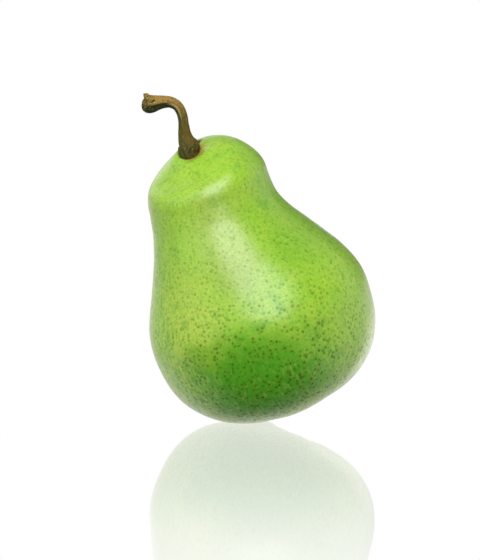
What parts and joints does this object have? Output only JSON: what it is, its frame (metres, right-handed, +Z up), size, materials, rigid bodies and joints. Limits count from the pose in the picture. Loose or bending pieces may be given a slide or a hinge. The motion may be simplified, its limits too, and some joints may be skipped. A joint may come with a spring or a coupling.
{
  "type": "pear",
  "caption": "A whole green pear standing on a small flat spot, its neck leaning to the left, with a thick curved stalk that bends sharply over to the left and a dried calyx underneath.",
  "frame": {"origin": "on the small flat spot that the pear stands on, nearly under its centre of mass", "axes": "+Z up, +X towards the side that the neck leans away from, +Y towards the back, so the stalk's end points to -X"},
  "size_m": [0.0777, 0.0745, 0.1098],
  "materials": {
    "skin": "smooth fresh fruit skin with a soft wax shine, green with small brown and dark green dots and a yellower lower left side",
    "stalk": "dry woody stalk, tan brown on top and dark olive green below, with fine lengthwise cracks",
    "calyx": "dried brown sepals, matt"
  },
  "bodies": {
    "root": {"fruit": "skin", "stem": "stalk", "calyx": "calyx"}
  },
  "joints": []
}
